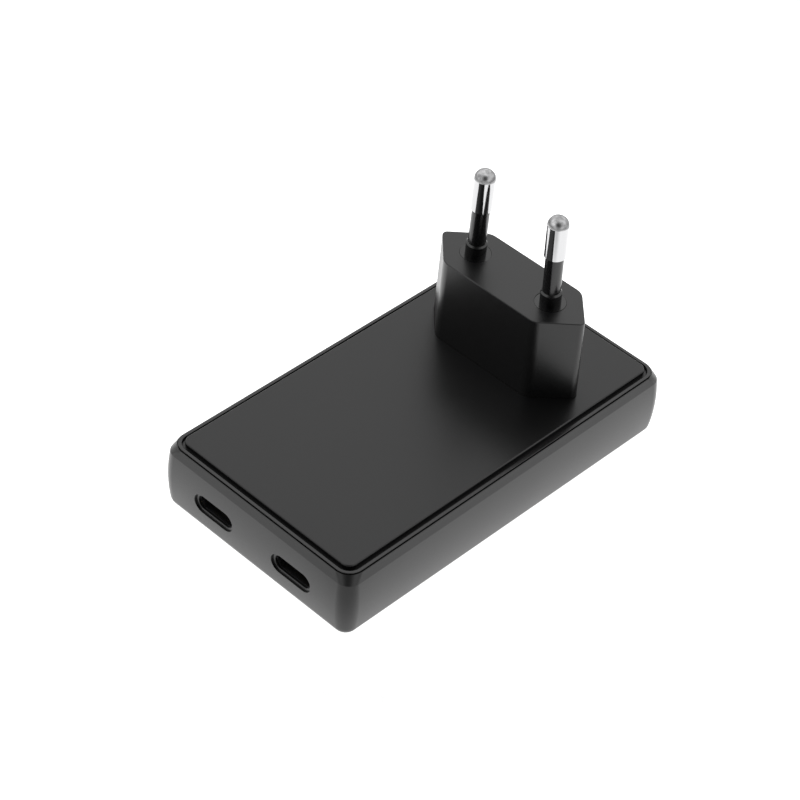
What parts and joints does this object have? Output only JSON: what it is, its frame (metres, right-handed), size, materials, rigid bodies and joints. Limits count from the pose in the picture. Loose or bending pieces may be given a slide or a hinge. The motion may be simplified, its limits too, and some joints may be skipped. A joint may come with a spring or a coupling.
{
  "type": "usb wall charger",
  "caption": "Flat rectangular wall charger with an inset cover, a fixed two-pin plug block near one end and USB-C openings in the other end.",
  "frame": {"origin": "centre of the flat outer face of the housing, which it lies on", "axes": "+Z along the plug, out of the cover; -Y towards the USB-C end; +Y towards the plug end; +X across the housing"},
  "size_m": [0.0472, 0.082, 0.0514],
  "materials": {
    "housing_plastic": "satin charcoal black, finely textured",
    "cover_plastic": "satin charcoal black, finely textured",
    "plug_plastic": "satin charcoal black, finely textured",
    "sleeve_plastic": "smooth black",
    "pin_metal": "polished nickel plate",
    "inner_plastic": "matt black",
    "brass": "stamped strip",
    "port_metal": "dark plated",
    "port_plastic": "matt black",
    "contact_gold": "gold plated",
    "board": "green solder resist",
    "heat_spreader": "plain sheet",
    "film": "clear amber film",
    "thermal_pad": "soft grey-blue",
    "black_resin": "matt moulding compound",
    "green_resin": "dipped lacquer",
    "blue_resin": "dipped lacquer",
    "yellow_plastic": "moulded box",
    "red_plastic": "moulded box",
    "white_plastic": "moulded package",
    "ferrite": "sintered ferrite",
    "copper_wire": "enamelled copper",
    "capacitor_sleeve": "shrunk sleeve",
    "capacitor_can": "drawn can",
    "chip_ceramic": "ceramic"
  },
  "bodies": {
    "root": {"housing": "housing_plastic", "cover": "cover_plastic", "plug_block": "plug_plastic", "pin_carrier": "inner_plastic", "pin_left": "pin_metal", "pin_right": "pin_metal", "pin_sleeve_left": "sleeve_plastic", "pin_sleeve_right": "sleeve_plastic", "contact_strip_left": "brass", "contact_strip_right": "brass", "usb_shell_left": "port_metal", "usb_shell_right": "port_metal", "usb_tongue_left": "port_plastic", "usb_tongue_right": "port_plastic", "usb_contacts_left": "contact_gold", "usb_contacts_right": "contact_gold", "main_board": "board", "lower_heat_spreader": "heat_spreader", "insulating_film": "film", "thermal_pads": "thermal_pad", "upper_heat_spreader": "heat_spreader", "fuse": "black_resin", "thermistor": "green_resin", "varistor": "blue_resin", "x_capacitor": "yellow_plastic", "y_capacitor": "blue_resin", "choke_core": "green_resin", "choke_winding_live": "copper_wire", "choke_winding_neutral": "copper_wire", "filter_inductor_core": "ferrite", "filter_inductor_winding": "copper_wire", "bridge_rectifier": "black_resin", "bulk_capacitor_outer": "capacitor_sleeve", "bulk_capacitor_inner": "capacitor_sleeve", "film_capacitor": "red_plastic", "supply_capacitor": "capacitor_sleeve", "switch_chip": "black_resin", "optocoupler": "white_plastic", "transformer_core_lower": "ferrite", "transformer_core_upper": "ferrite", "transformer_bobbin": "inner_plastic", "transformer_primary": "copper_wire", "transformer_secondary": "copper_wire", "rectifier_transistor": "black_resin", "output_capacitors": "capacitor_can", "port_inductor_left": "ferrite", "port_inductor_right": "ferrite", "port_controller_left": "black_resin", "port_controller_right": "black_resin", "chip_capacitors": "chip_ceramic", "chip_resistors": "black_resin"}
  },
  "joints": []
}
